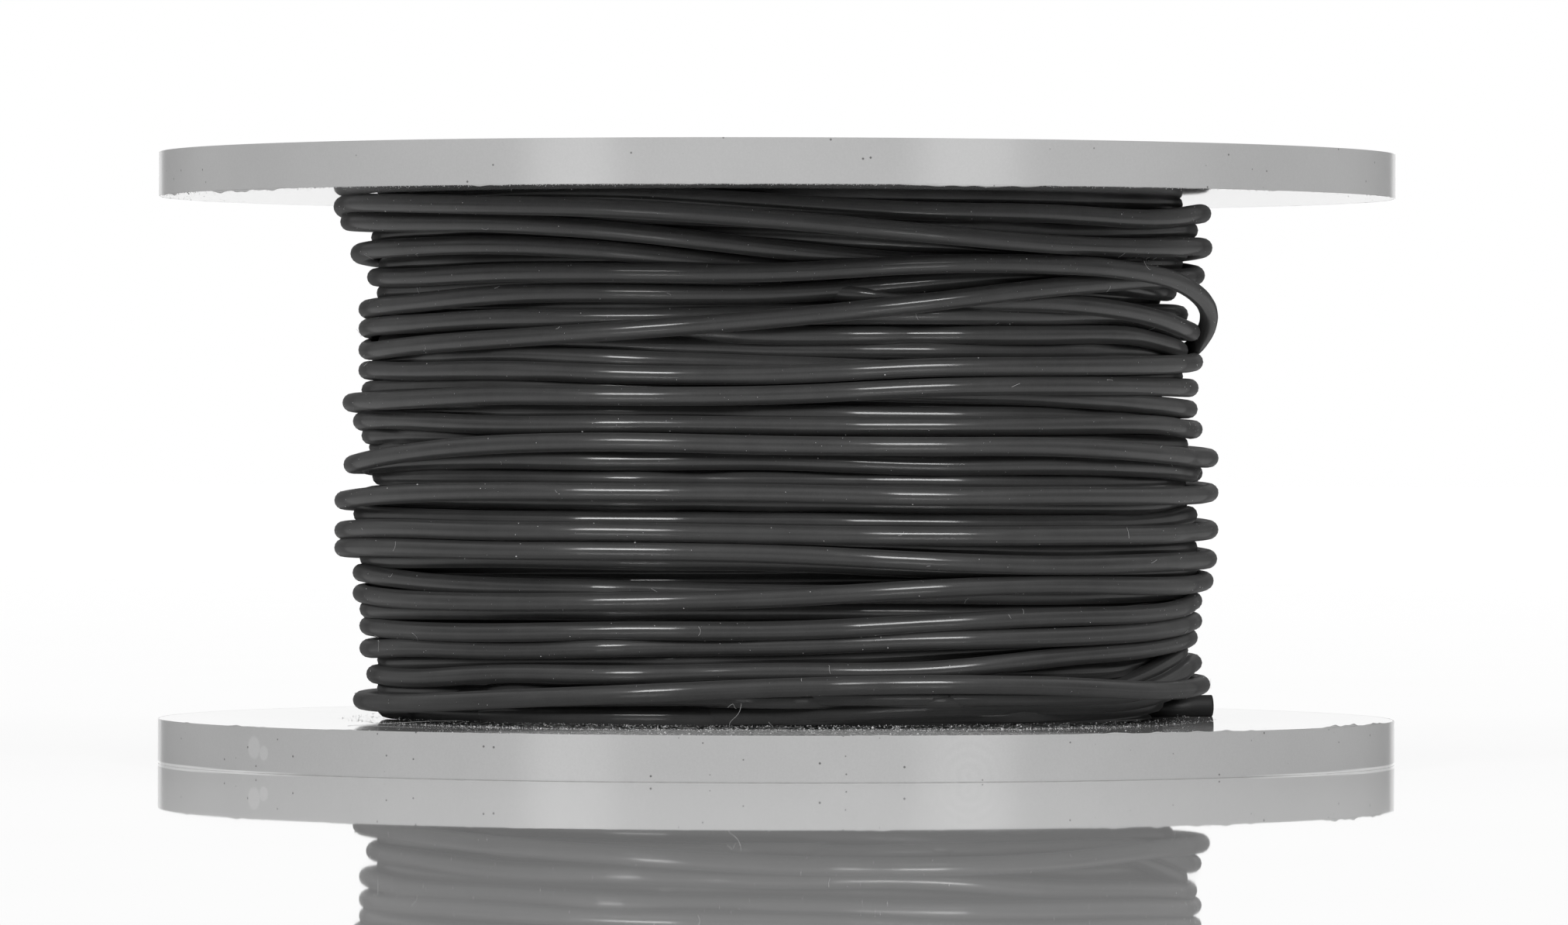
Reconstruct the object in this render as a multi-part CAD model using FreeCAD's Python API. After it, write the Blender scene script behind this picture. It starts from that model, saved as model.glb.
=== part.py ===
import FreeCAD, Part
import math
import os

# Wire spool, standing on its lower flange.
# Millimetres, +Z up along the spool's axis, origin at the middle of the face that it stands on.
# The front of the spool is towards -Y, and an azimuth is counted from +X towards +Y.

# Flanges: two flat discs, alike, with a low pad round the bore on the outside.
flange_diameter = 88.0
flange_thickness = 3.1
pad_diameter = 60.0
pad_height = 0.05
inner_width = 37.1
drive_hole_diameter = 5.0
drive_hole_offset = 16.5
drive_hole_azimuth = 90.0

# Barrel: the tube that the wire is wound on, seated in a groove of each flange.
barrel_diameter = 50.0
barrel_wall = 2.0
barrel_seat_depth = 1.2

# Arbor: the inner tube that a spindle goes through.
arbor_bore = 16.0
arbor_wall = 2.0
arbor_recess = 0.3

# Play of the tubes in their seats, and of the wound core between the flanges.
seat_clearance = 0.1
core_end_clearance = 0.1

# Wire: stranded copper in a soft jacket.
wire_diameter = 1.3
strand_diameter = 0.16
strand_clearance = 0.01
outer_strand_count = 6

# Winding: the layers below are one plain core, and the outer turns are a tube over it.
# Its depth is from the barrel to the middle of the outer turns, at the flanges.
wound_depth = 4.2
turn_crown = 1.65
turn_gap = 0.44
turn_end_gap = 0.25
layer_gap = 0.47
core_gap = 0.15
most_loops = 24

# Course of the outer turns: up from the lower flange, out at the upper one, and down again over them.
start_azimuth = 26.0
climb_turns = 0.5
climb_lead = 0.2
return_turns = 1.483
return_pitch = 3.4
bow_out_turns = 0.25
widen_delay = 0.15
widen_turns = 0.7

# Ends of the outer turns: each comes out of the core, or goes into it, in a pocket.
end_bend_radius = 2.0
bow_bend_radius = 3.0
least_drop = 0.2
pocket_clearance = 0.3

# Start tail: the wire's inner end, which runs out flat along the lower flange.
tail_azimuth = 14.0
tail_beyond_turns = 0.8
tail_gap = 0.05
tail_groove_clearance = 0.3

# Heights and radii that follow from these.
lower_inner_z = pad_height + flange_thickness
upper_inner_z = lower_inner_z + inner_width
total_height = upper_inner_z + lower_inner_z
middle_z = total_height / 2
flange_radius = flange_diameter / 2
barrel_radius = barrel_diameter / 2
arbor_radius = arbor_bore / 2 + arbor_wall
wire_radius = wire_diameter / 2
end_straight = wire_diameter
turn_radius_at_flanges = barrel_radius + wound_depth
tail_reach = turn_radius_at_flanges + turn_crown + wire_radius + tail_beyond_turns
first_z = lower_inner_z + turn_end_gap + wire_radius
last_z = upper_inner_z - turn_end_gap - wire_radius
half_travel = (last_z - first_z) / 2
crown_circle_radius = (half_travel ** 2 + turn_crown ** 2) / (2 * turn_crown)
layer_step = wire_diameter + layer_gap
tuck_room = wire_diameter + turn_gap
core_offset = wire_radius + core_gap

UP = FreeCAD.Vector(0, 0, 1)
ORIGIN = FreeCAD.Vector(0, 0, 0)


def tube(outer_radius, inner_radius, z_low, z_high):
    """A plain tube along the axis."""
    height = z_high - z_low
    base = FreeCAD.Vector(0, 0, z_low)
    outside = Part.makeCylinder(outer_radius, height, base)
    inside = Part.makeCylinder(inner_radius, height, base)
    return outside.cut(inside)


def radial(azimuth):
    """The unit vector away from the axis at an azimuth in degrees."""
    angle = math.radians(azimuth)
    return FreeCAD.Vector(math.cos(angle), math.sin(angle), 0)


def turned_box(azimuth, r_low, r_high, side_low, side_high, z_low, z_high):
    """A box set out along the radius at an azimuth: its sides are measured across that radius."""
    corner = FreeCAD.Vector(r_low, side_low, z_low)
    box = Part.makeBox(r_high - r_low, side_high - side_low, z_high - z_low, corner)
    box.rotate(ORIGIN, UP, azimuth)
    return box


def make_flange(outer_z, inward):
    """A flange whose pad face is at outer_z. inward is 1 for the lower one and -1 for the upper one."""
    inner_z = outer_z + inward * lower_inner_z
    rim_z = outer_z + inward * pad_height
    disc = Part.makeCylinder(flange_radius, flange_thickness, FreeCAD.Vector(0, 0, min(rim_z, inner_z)))
    pad = Part.makeCylinder(pad_diameter / 2, lower_inner_z, FreeCAD.Vector(0, 0, min(outer_z, inner_z)))
    solid = disc.fuse(pad).removeSplitter()
    seat_z = inner_z - inward * barrel_seat_depth
    groove = tube(
        barrel_radius + seat_clearance,
        barrel_radius - barrel_wall - seat_clearance,
        min(seat_z, inner_z),
        max(seat_z, inner_z),
    )
    low = FreeCAD.Vector(0, 0, min(outer_z, inner_z))
    bore = Part.makeCylinder(arbor_radius + seat_clearance, lower_inner_z, low)
    drive_at = radial(drive_hole_azimuth) * drive_hole_offset
    drive = Part.makeCylinder(drive_hole_diameter / 2, lower_inner_z, low + drive_at)
    return solid.cut(groove).cut(bore).cut(drive)


def make_barrel():
    """The barrel, whose ends stand on the floors of both grooves."""
    low = lower_inner_z - barrel_seat_depth
    high = upper_inner_z + barrel_seat_depth
    return tube(barrel_radius, barrel_radius - barrel_wall, low, high)


def make_arbor():
    """The arbor, a push fit in both flanges, its ends just inside their faces."""
    return tube(arbor_radius, arbor_bore / 2, arbor_recess, total_height - arbor_recess)


def crowned(z):
    """Radius of the turns' centre line at a height: an arc that is fullest half way up."""
    from_middle = z - middle_z
    sagitta = crown_circle_radius - math.sqrt(crown_circle_radius ** 2 - from_middle ** 2)
    return turn_radius_at_flanges + turn_crown - sagitta


def smooth(share):
    """A smooth step from 0 to 1."""
    s = min(max(share, 0.0), 1.0)
    return s * s * (3 - 2 * s)


# Count and pitch of the rising turns. Two of them stand further apart where the end is tucked in.
rising_fraction = (180.0 - start_azimuth) / 360 - climb_turns
rising_height = last_z - first_z - tuck_room
fitting_turns = int(rising_height / (wire_diameter + turn_gap) - rising_fraction)
spare_turns = most_loops - math.ceil(climb_turns + return_turns + rising_fraction)
whole_turns = min(fitting_turns, spare_turns)
rising_turns = whole_turns + rising_fraction
pitch = rising_height / rising_turns

# Where the end goes in: between two rising turns, under the bow.
return_start = rising_turns + climb_turns
bow_turn = return_start + return_turns
bow_azimuth = start_azimuth + 360 * bow_turn
bow_z = last_z - return_pitch * return_turns
tuck_fraction = bow_turn - math.floor(bow_turn)
tuck_ceiling = bow_z - bow_bend_radius - end_bend_radius - least_drop
tuck_turn = math.floor((tuck_ceiling - tuck_room - first_z) / pitch - tuck_fraction) + tuck_fraction
tuck_z = first_z + pitch * tuck_turn + (pitch + tuck_room) / 2
widen_start = tuck_turn + widen_delay


def course(turn):
    """A point of the outer turns' centre line, by the number of turns from its start."""
    if turn <= rising_turns:
        z = first_z + pitch * turn + tuck_room * smooth((turn - widen_start) / widen_turns)
    else:
        z = last_z - return_pitch * max(turn - return_start, 0.0)
    out = smooth((turn - rising_turns + climb_lead) / climb_turns)
    over = crowned(z) + layer_step * out
    clear_of_tuck = crowned(tuck_z) + layer_step
    bow_out = smooth((turn - bow_turn + bow_out_turns) / bow_out_turns)
    r = over + max(clear_of_tuck - over, 0.0) * bow_out
    return radial(start_azimuth + 360 * turn) * r + UP * z


def heading(turn):
    """The unit tangent of the outer turns' centre line."""
    step = 1e-4
    ahead = min(turn + step, bow_turn)
    behind = max(turn - step, 0.0)
    return (course(ahead) - course(behind)).normalize()


def arc_between(start, corner, end):
    """The arc that leaves start towards corner and reaches end from it, both at the same distance."""
    chord_middle = (start + end) * 0.5
    half_chord = (end - start).Length / 2
    side = (corner - start).Length
    cosine = half_chord / side
    radius = half_chord / math.sqrt(1 - cosine ** 2)
    to_middle = (chord_middle - corner).normalize()
    middle = corner + to_middle * (radius / cosine - radius)
    return Part.Arc(start, middle, end).toShape()


def biarc(start, start_way, end, end_way):
    """Two arcs from start to end that meet smoothly and keep both tangents."""
    v = end - start
    ways = start_way + end_way
    a = 2 * (1 - start_way.dot(end_way))
    b = 2 * v.dot(ways)
    c = v.dot(v)
    side = 2 * c / (b + math.sqrt(b * b + 4 * a * c))
    first_corner = start + start_way * side
    last_corner = end - end_way * side
    joint = (first_corner + last_corner) * 0.5
    return [arc_between(start, first_corner, joint), arc_between(joint, last_corner, end)]


def bend(start, way_in, way_out, radius):
    """An arc from start that turns one direction into another, and the point where it ends."""
    angle = way_in.getAngle(way_out)
    side = radius * math.tan(angle / 2)
    corner = start + way_in * side
    end = corner + way_out * side
    return arc_between(start, corner, end), end


def turns_path():
    """The centre line of the outer turns, and the middle of each pocket's floor with its azimuth."""
    first = course(0.0)
    first_way = heading(0.0)
    outward = radial(start_azimuth)
    side = end_bend_radius * math.tan(outward.getAngle(first_way) / 2)
    bend_start = first - (first_way + outward) * side
    floor_in = bend_start - outward * end_straight
    edges = [Part.LineSegment(floor_in, bend_start).toShape()]
    edges.append(bend(bend_start, outward, first_way, end_bend_radius)[0])

    quarters = math.ceil(bow_turn * 4)
    stops = [bow_turn * n / quarters for n in range(quarters + 1)]
    for here, there in zip(stops, stops[1:]):
        edges += biarc(course(here), heading(here), course(there), heading(there))

    down = -UP
    arc, at = bend(course(bow_turn), heading(bow_turn), down, bow_bend_radius)
    edges.append(arc)
    inward = -FreeCAD.Vector(at.x, at.y, 0).normalize()
    drop_end = FreeCAD.Vector(at.x, at.y, tuck_z + end_bend_radius)
    edges.append(Part.LineSegment(at, drop_end).toShape())
    arc, at = bend(drop_end, down, inward, end_bend_radius)
    edges.append(arc)
    floor_r = crowned(tuck_z) - core_offset - end_straight / 2
    floor_out = -inward * floor_r + UP * at.z
    edges.append(Part.LineSegment(at, floor_out).toShape())
    return edges, floor_in, floor_out


def least_gap(wire):
    """The least clear distance from the tube to itself, from points on its centre line to its runs."""
    count = int(wire.Length / wire_diameter)
    points = wire.discretize(Number=count)
    spacing = wire.Length / (count - 1)
    apart = math.ceil(4 * wire_diameter / spacing)
    near = 2 * wire_diameter
    best = wire.Length
    for n, p in enumerate(points):
        for m in range(n + apart, count - 1):
            q = points[m]
            if abs(p.z - q.z) < near and abs(p.x - q.x) < near and abs(p.y - q.y) < near:
                run = points[m + 1] - q
                share = min(max((p - q).dot(run) / run.dot(run), 0.0), 1.0)
                best = min(best, (p - q - run * share).Length)
    return best - wire_diameter


def make_outer_turns(edges, floor_in):
    """One unbroken tube along the outer turns."""
    path = Part.Wire(edges)
    way = (edges[0].Vertexes[1].Point - floor_in).normalize()
    ring = Part.Wire(Part.Circle(floor_in, way, wire_radius).toShape())
    solid = path.makePipeShell([ring], True, False)
    print("outer turns:", round(bow_turn, 2), "loops at a pitch of", round(pitch, 3))
    print("outer turns: tube length", round(path.Length, 1), "least gap to itself", round(least_gap(path), 3))
    swept = math.pi * wire_radius ** 2 * path.Length
    print("outer turns: volume against section times length", round(solid.Volume / swept, 4))
    return solid


def pocket(floor_point, side_low, side_high):
    """The room that an end of the outer turns takes in the core, from its floor out."""
    half = wire_radius + pocket_clearance
    azimuth = math.degrees(math.atan2(floor_point.y, floor_point.x))
    r_low = math.hypot(floor_point.x, floor_point.y)
    z_low = floor_point.z - half
    z_high = floor_point.z + half
    return turned_box(azimuth, r_low, flange_radius, side_low, side_high, z_low, z_high)


def make_core(floor_in, floor_out):
    """The layers below the outer turns, as one crowned ring with the tail's groove and two pockets."""
    low = lower_inner_z + core_end_clearance
    high = upper_inner_z - core_end_clearance
    bore = barrel_radius + seat_clearance
    lower_r = crowned(first_z) - core_offset
    middle_r = crowned(middle_z) - core_offset
    corners = [
        FreeCAD.Vector(bore, 0, low),
        FreeCAD.Vector(lower_r, 0, low),
        FreeCAD.Vector(lower_r, 0, first_z),
        FreeCAD.Vector(lower_r, 0, last_z),
        FreeCAD.Vector(lower_r, 0, high),
        FreeCAD.Vector(bore, 0, high),
    ]
    crown = Part.Arc(corners[2], FreeCAD.Vector(middle_r, 0, middle_z), corners[3]).toShape()
    sides = [Part.LineSegment(corners[n], corners[n + 1]).toShape() for n in (0, 1)]
    sides.append(crown)
    sides += [Part.LineSegment(corners[n], corners[(n + 1) % 6]).toShape() for n in (3, 4, 5)]
    ring = Part.Face(Part.Wire(sides)).revolve(ORIGIN, UP, 360)
    half = wire_radius + pocket_clearance
    ring = ring.cut(pocket(floor_in, -half, end_bend_radius + pocket_clearance))
    ring = ring.cut(pocket(floor_out, -half, half))
    groove_half = wire_radius + tail_groove_clearance
    groove_top = lower_inner_z + tail_gap + wire_diameter + tail_groove_clearance
    groove = turned_box(tail_azimuth, barrel_radius, flange_radius, -groove_half, groove_half, 0, groove_top)
    return ring.cut(groove)


def tail_cylinder(radius, offset, azimuth_round):
    """A cylinder along the start tail, set off from its middle line."""
    along = radial(tail_azimuth)
    across = UP.cross(along)
    angle = math.radians(azimuth_round)
    middle_height = lower_inner_z + tail_gap + wire_radius
    aside = across * (offset * math.cos(angle)) + UP * (offset * math.sin(angle))
    start = barrel_radius + seat_clearance + tail_gap
    base = along * start + UP * middle_height + aside
    return Part.makeCylinder(radius, tail_reach - start, base, along)


def make_tail():
    """The jacket of the start tail, and the strands inside it."""
    step = strand_diameter + strand_clearance
    strands = [tail_cylinder(strand_diameter / 2, 0, 0)]
    for n in range(outer_strand_count):
        strands.append(tail_cylinder(strand_diameter / 2, step, 360 * n / outer_strand_count))
    bore_radius = step + strand_diameter / 2 + strand_clearance
    jacket = tail_cylinder(wire_radius, 0, 0).cut(tail_cylinder(bore_radius, 0, 0))
    return jacket, Part.makeCompound(strands)


def build():
    edges, floor_in, floor_out = turns_path()
    jacket, strands = make_tail()
    nodes = {
        "lower_flange": make_flange(0.0, 1),
        "upper_flange": make_flange(total_height, -1),
        "barrel": make_barrel(),
        "arbor_tube": make_arbor(),
        "wire_inner_layers": make_core(floor_in, floor_out),
        "wire_outer_turns": make_outer_turns(edges, floor_in),
        "wire_start_tail": jacket,
        "start_tail_strands": strands,
    }
    os.makedirs("parts", exist_ok=True)
    for name, shape in nodes.items():
        shape.exportStep("parts/" + name + ".step")
        print(name, "solids", len(shape.Solids), "valid", shape.isValid(), "volume", round(shape.Volume, 2))


build()
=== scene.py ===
import math

import bpy
import numpy as np
from mathutils import Matrix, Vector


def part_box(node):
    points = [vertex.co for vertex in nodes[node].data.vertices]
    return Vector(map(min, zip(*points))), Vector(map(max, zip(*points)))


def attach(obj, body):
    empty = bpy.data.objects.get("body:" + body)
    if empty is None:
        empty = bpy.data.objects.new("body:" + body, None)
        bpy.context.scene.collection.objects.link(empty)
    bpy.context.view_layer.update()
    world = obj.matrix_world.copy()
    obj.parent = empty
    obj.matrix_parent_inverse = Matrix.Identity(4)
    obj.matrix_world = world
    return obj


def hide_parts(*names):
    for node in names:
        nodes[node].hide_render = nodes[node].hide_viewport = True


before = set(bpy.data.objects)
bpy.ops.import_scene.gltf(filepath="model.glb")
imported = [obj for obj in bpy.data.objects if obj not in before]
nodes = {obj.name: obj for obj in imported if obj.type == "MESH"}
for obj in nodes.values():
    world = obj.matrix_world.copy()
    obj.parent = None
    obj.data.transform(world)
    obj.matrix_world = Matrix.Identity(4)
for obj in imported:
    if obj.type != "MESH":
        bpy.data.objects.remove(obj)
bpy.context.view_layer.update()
MM = 0.001


# Camera.

# Fitted to the photograph: the lens in millimetres on a 36 mm sensor, the place in metres, and how far the
# camera looks down and is turned about its own axis, in degrees.
LENS_LENGTH = 241.95
CAMERA_PLACE = (0.000525, -0.75126, 0.02345)
CAMERA_LOOKS_DOWN = 0.1565
CAMERA_ROLL = 0.12


def make_camera():
    """A long lens at the height of the spool's middle, nearly level, as the photograph was taken."""
    lens = bpy.data.cameras.new("camera")
    lens.sensor_width = 36.0
    lens.lens = LENS_LENGTH
    lens.clip_start = 0.05
    lens.clip_end = 50.0
    camera = bpy.data.objects.new("camera", lens)
    bpy.context.collection.objects.link(camera)
    place = Matrix.Translation(CAMERA_PLACE)
    pitch = Matrix.Rotation(math.radians(90.0 - CAMERA_LOOKS_DOWN), 4, "X")
    roll = Matrix.Rotation(math.radians(CAMERA_ROLL), 4, "Z")
    camera.matrix_world = place @ pitch @ roll
    bpy.context.scene.camera = camera


make_camera()


# Sizes in millimetres, most of them taken from the frame.

flange_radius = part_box("lower_flange")[1].x / MM
lower_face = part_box("lower_flange")[1].z / MM
upper_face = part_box("upper_flange")[0].z / MM
core_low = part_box("wire_inner_layers")[0].z / MM
core_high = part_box("wire_inner_layers")[1].z / MM
barrel_play = 0.1
core_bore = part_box("barrel")[1].x / MM + barrel_play
wire_radius = 0.65
tail_angle = 104.0
tail_tilt = math.radians(tail_angle - 90.0)
tail_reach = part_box("wire_start_tail")[1].x / MM / math.cos(tail_tilt) - wire_radius * math.tan(tail_tilt)
random = np.random.default_rng(7)


# Winding.

# Outer turns in the order in which they were laid, from the lower flange up. Each row has the height of
# the turn's middle above the lower flange's inner face at nine places across the front, 20 degrees apart
# from 80 degrees left to 80 degrees right, and then how far out it reaches at the left and at the right.
# They are in millimetres. They were read off the photograph, but a scratch program that matched the
# render to the photograph then changed 170 of the 253 numbers by up to 0.31. Some were changed again,
# and all were rounded to a twentieth.
OUTER_TURNS = (
    (1.30, 1.40, 1.90, 2.40, 2.90, 3.10, 2.90, 2.40, 2.45, 30.15, 31.15),
    (3.15, 3.15, 3.65, 3.70, 3.95, 4.00, 4.80, 5.25, 5.80, 29.45, 30.35),
    (5.00, 5.30, 5.30, 5.60, 5.75, 6.10, 6.25, 6.50, 6.95, 29.70, 30.70),
    (6.55, 6.45, 6.50, 6.75, 6.80, 7.25, 7.65, 7.75, 8.25, 29.95, 30.75),
    (10.35, 9.95, 9.65, 9.55, 9.30, 9.30, 9.15, 9.20, 9.30, 30.30, 29.50),
    (8.85, 8.65, 8.60, 8.75, 9.05, 9.65, 9.90, 9.70, 9.75, 30.40, 31.30),
    (12.20, 12.30, 12.20, 12.20, 12.05, 11.55, 11.25, 11.35, 11.40, 31.60, 31.40),
    (13.45, 13.65, 13.55, 13.55, 13.40, 13.30, 13.30, 13.30, 13.45, 31.60, 31.55),
    (15.60, 16.00, 16.25, 16.25, 16.20, 16.00, 16.05, 16.00, 16.10, 31.50, 31.65),
    (18.05, 18.30, 18.50, 18.40, 18.45, 18.10, 18.15, 17.95, 17.60, 30.20, 30.60),
    (18.15, 18.85, 19.50, 19.70, 19.50, 19.45, 19.40, 18.95, 18.60, 30.85, 31.60),
    (21.20, 21.15, 20.85, 20.90, 20.80, 20.80, 20.90, 21.00, 20.65, 30.20, 30.65),
    (22.50, 22.60, 22.90, 22.85, 22.95, 23.45, 23.65, 23.65, 23.60, 30.95, 30.05),
    (24.75, 24.60, 24.65, 24.35, 24.35, 24.85, 25.00, 25.15, 25.35, 29.90, 30.65),
    (27.80, 27.95, 28.25, 28.25, 28.40, 28.50, 28.50, 28.60, 27.70, 29.90, 29.00),
    (30.30, 30.30, 30.70, 30.70, 30.45, 29.50, 29.40, 28.70, 27.70, 28.70, 30.20),
    (29.15, 29.40, 29.90, 29.95, 29.90, 30.65, 31.20, 30.60, 30.40, 29.90, 28.50),
    (33.15, 33.30, 33.30, 32.70, 31.65, 31.80, 32.15, 32.35, 32.40, 30.40, 28.90),
    (36.70, 36.60, 36.80, 36.70, 36.10, 35.60, 35.55, 35.35, 35.95, 28.50, 30.95),
    (35.25, 35.00, 34.80, 34.10, 32.95, 32.10, 32.15, 32.20, 32.15, 31.20, 28.50),
    (26.10, 26.40, 26.85, 27.40, 28.20, 29.30, 30.45, 31.10, 31.45, 29.80, 30.50),
    (36.50, 36.35, 36.05, 35.70, 34.95, 34.05, 33.40, 33.35, 33.60, 31.60, 31.00),
    (31.30, 31.20, 31.40, 31.35, 31.35, 31.95, 32.00, 31.45, 30.60, 29.20, 31.50),
)

# Turns of the layer below, in the order in which they were laid, from the upper flange down, in the
# same form. They were read at five places each, and a scratch program filled in the four between at 21
# of the 27 turns. Some were changed afterwards, and all were rounded to a twentieth.
UNDER_TURNS = (
    (36.60, 36.60, 36.60, 36.60, 36.60, 36.60, 36.60, 36.60, 36.65, 28.80, 29.10),
    (35.90, 35.85, 35.80, 35.40, 35.00, 34.60, 34.20, 34.45, 34.80, 29.50, 30.25),
    (34.20, 34.30, 34.40, 34.10, 33.80, 33.30, 32.80, 33.00, 33.20, 29.30, 29.30),
    (32.20, 32.25, 32.30, 32.25, 32.20, 31.95, 31.70, 31.95, 32.20, 28.90, 28.90),
    (30.90, 30.80, 30.70, 30.70, 30.70, 30.40, 30.10, 30.05, 30.00, 28.40, 28.40),
    (29.20, 29.10, 29.00, 29.05, 29.10, 28.95, 28.80, 28.85, 28.85, 28.60, 29.55),
    (28.20, 28.05, 27.90, 27.50, 27.05, 27.10, 27.15, 27.20, 26.40, 28.50, 29.40),
    (26.80, 26.75, 26.70, 26.40, 26.05, 26.00, 26.00, 26.05, 25.90, 28.60, 28.80),
    (25.40, 25.55, 25.70, 25.35, 25.00, 24.65, 24.30, 24.30, 24.45, 29.30, 29.20),
    (23.35, 23.50, 23.60, 23.45, 23.30, 23.10, 22.90, 22.45, 22.15, 29.60, 30.00),
    (21.85, 21.85, 21.80, 21.75, 21.65, 21.55, 21.50, 21.20, 20.90, 29.50, 29.50),
    (20.10, 20.10, 19.95, 19.90, 19.80, 19.75, 19.75, 19.65, 19.60, 29.75, 29.80),
    (19.25, 19.05, 18.80, 18.60, 18.50, 18.45, 18.40, 18.30, 18.20, 29.20, 29.50),
    (17.20, 17.15, 17.15, 17.10, 17.05, 17.00, 16.90, 16.95, 17.00, 29.75, 29.80),
    (15.80, 15.75, 15.65, 15.60, 15.55, 15.45, 15.30, 15.30, 15.50, 29.60, 30.10),
    (14.50, 14.40, 14.30, 14.30, 14.25, 14.15, 14.05, 14.10, 14.55, 30.50, 30.30),
    (13.10, 13.05, 13.00, 12.90, 12.80, 12.55, 12.30, 12.30, 12.30, 30.20, 30.20),
    (11.40, 11.50, 11.65, 11.55, 11.50, 11.05, 10.60, 10.65, 10.70, 29.80, 30.00),
    (9.90, 9.85, 9.80, 9.65, 9.50, 9.30, 9.15, 9.20, 9.20, 29.30, 29.30),
    (7.75, 7.90, 8.05, 8.10, 8.10, 8.00, 7.90, 8.20, 8.50, 29.75, 28.90),
    (6.80, 6.75, 6.70, 6.75, 6.80, 6.80, 6.80, 7.05, 7.30, 28.60, 28.60),
    (4.10, 4.30, 4.50, 4.65, 4.85, 5.15, 5.50, 5.75, 6.00, 28.70, 28.30),
    (3.00, 2.95, 2.90, 3.20, 3.50, 3.65, 3.75, 3.90, 4.35, 28.30, 28.80),
    (2.10, 2.20, 2.30, 2.20, 2.10, 2.10, 2.20, 2.70, 4.75, 28.90, 30.35),
    (0.65, 0.80, 0.80, 0.80, 0.90, 1.00, 1.00, 1.00, 1.20, 28.45, 28.40),
    (0.80, 0.80, 0.80, 0.85, 1.00, 1.45, 1.50, 1.55, 1.95, 27.70, 28.50),
    (1.20, 1.75, 2.00, 2.20, 2.30, 2.25, 2.20, 2.30, 3.75, 28.00, 30.55),
)

# The last turn leaves the winding in a bow at the right: angle, radius, height above the lower inner face.
BOW = (
    (44.0, 30.80, 31.95), (48.0, 30.78, 31.86), (55.0, 30.76, 31.62), (62.6, 30.72, 31.28),
    (67.8, 30.70, 30.88), (71.5, 30.73, 30.52), (76.6, 30.84, 29.95), (80.9, 30.93, 29.28),
    (83.3, 30.92, 28.78), (85.7, 30.78, 28.14), (88.5, 30.44, 27.44), (91.5, 30.10, 26.90),
    (95.0, 29.85, 26.45), (99.5, 29.42, 26.05), (104.0, 28.75, 25.88), (108.0, 27.80, 25.85),
)

# Degrees between two points of the wire, and from the front to the last place of a table's row.
TURN_STEP = 2.0
FRONT_REACH = 80.0

# Past the sides the turns draw in: from this angle, over this many degrees, by this many millimetres.
BACK_FROM = 92.0
BACK_FADE = 30.0
BACK_DRAWN_IN = 0.4

# How near two pressed turns come, how far one may lie outside a later one that still presses it, the
# least radius that a turn is pressed to, and how many times each turn is pressed.
PRESSED_DIAMETER = 1.15
OVERLAP = 0.3
LEAST_RADIUS = 26.4
PRESS_PASSES = 3


def soften(values, steps):
    """Gaussian smoothing of a row of values along the wire; steps is the spread."""
    reach = int(4 * steps)
    kernel = np.exp(-0.5 * (np.arange(-reach, reach + 1) / steps) ** 2)
    padded = np.concatenate([np.full(reach, values[0]), values, np.full(reach, values[-1])])
    return np.convolve(padded, kernel / kernel.sum(), "valid")


def through(at, values, angle, steps):
    """A softened line through given values: what softening takes off at a place is added back, four times."""
    aim = values.copy()
    for _ in range(4):
        line = soften(np.interp(angle, at, aim), steps)
        aim += values - np.interp(at, angle, line)
    return line


def along_turns(table):
    """Angle, height and natural radius of the wire's middle at every 2 degrees, one turn after another.

    The heights run smoothly through the table's places and evenly between them round the back.
    The radius goes from its left value to its right one across the front and back again round the back,
    where it is up to 0.4 mm less.
    """
    height_spread = 3.5
    radius_spread = 8.0
    rows = np.array(table)
    places = rows.shape[1] - 2
    front = np.linspace(-FRONT_REACH, FRONT_REACH, places)
    turns = np.arange(len(rows))[:, None] * 360.0
    at = (turns + front).ravel()
    height = rows[:, :places].ravel()
    side_at = (turns + np.array([-90.0, 90.0])).ravel()
    side = rows[:, places:].ravel() - wire_radius
    angle = np.arange(-180.0, turns[-1, 0] + 180.0, TURN_STEP)
    z = through(at, height, angle, height_spread)
    r = through(side_at, side, angle, radius_spread)
    from_front = np.abs((angle + 180.0) % 360.0 - 180.0)
    past_side = np.clip((from_front - BACK_FROM) / BACK_FADE, 0.0, 1.0)
    r -= BACK_DRAWN_IN * past_side ** 2 * (3.0 - 2.0 * past_side)
    return angle, z + lower_face, r


def settle(angle, z, r, order):
    """Presses each turn inwards to where the turns that lie on it leave room, a wire's width away."""
    per_turn = int(360 / TURN_STEP)
    turns = len(order)
    size = turns * per_turn
    pad = size - len(angle)
    zz = np.concatenate([z, np.full(pad, z[-1])]).reshape(turns, per_turn)
    rr = np.concatenate([r, np.full(pad, r[-1])]).reshape(turns, per_turn)
    for place in range(turns - 2, -1, -1):
        here = order[place]
        over = list(order[place + 1:])
        apart = np.abs(zz[over] - zz[here])
        room = np.sqrt(np.maximum(PRESSED_DIAMETER ** 2 - apart ** 2, 0.0))
        for _ in range(PRESS_PASSES):
            further_out = rr[over] - rr[here]
            touching = (further_out < room) & (further_out > -OVERLAP)
            limit = np.where(touching, rr[over] - room, np.inf).min(axis=0)
            rr[here] = np.minimum(rr[here], limit)
    return np.maximum(rr.ravel()[:len(angle)], LEAST_RADIUS)


def around(angle, radius, z):
    """Points from angles in degrees (0 at the front, 90 at the right), radii and heights."""
    turn = np.radians(angle)
    return np.stack([radius * np.sin(turn), -radius * np.cos(turn), z], axis=-1)


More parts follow.
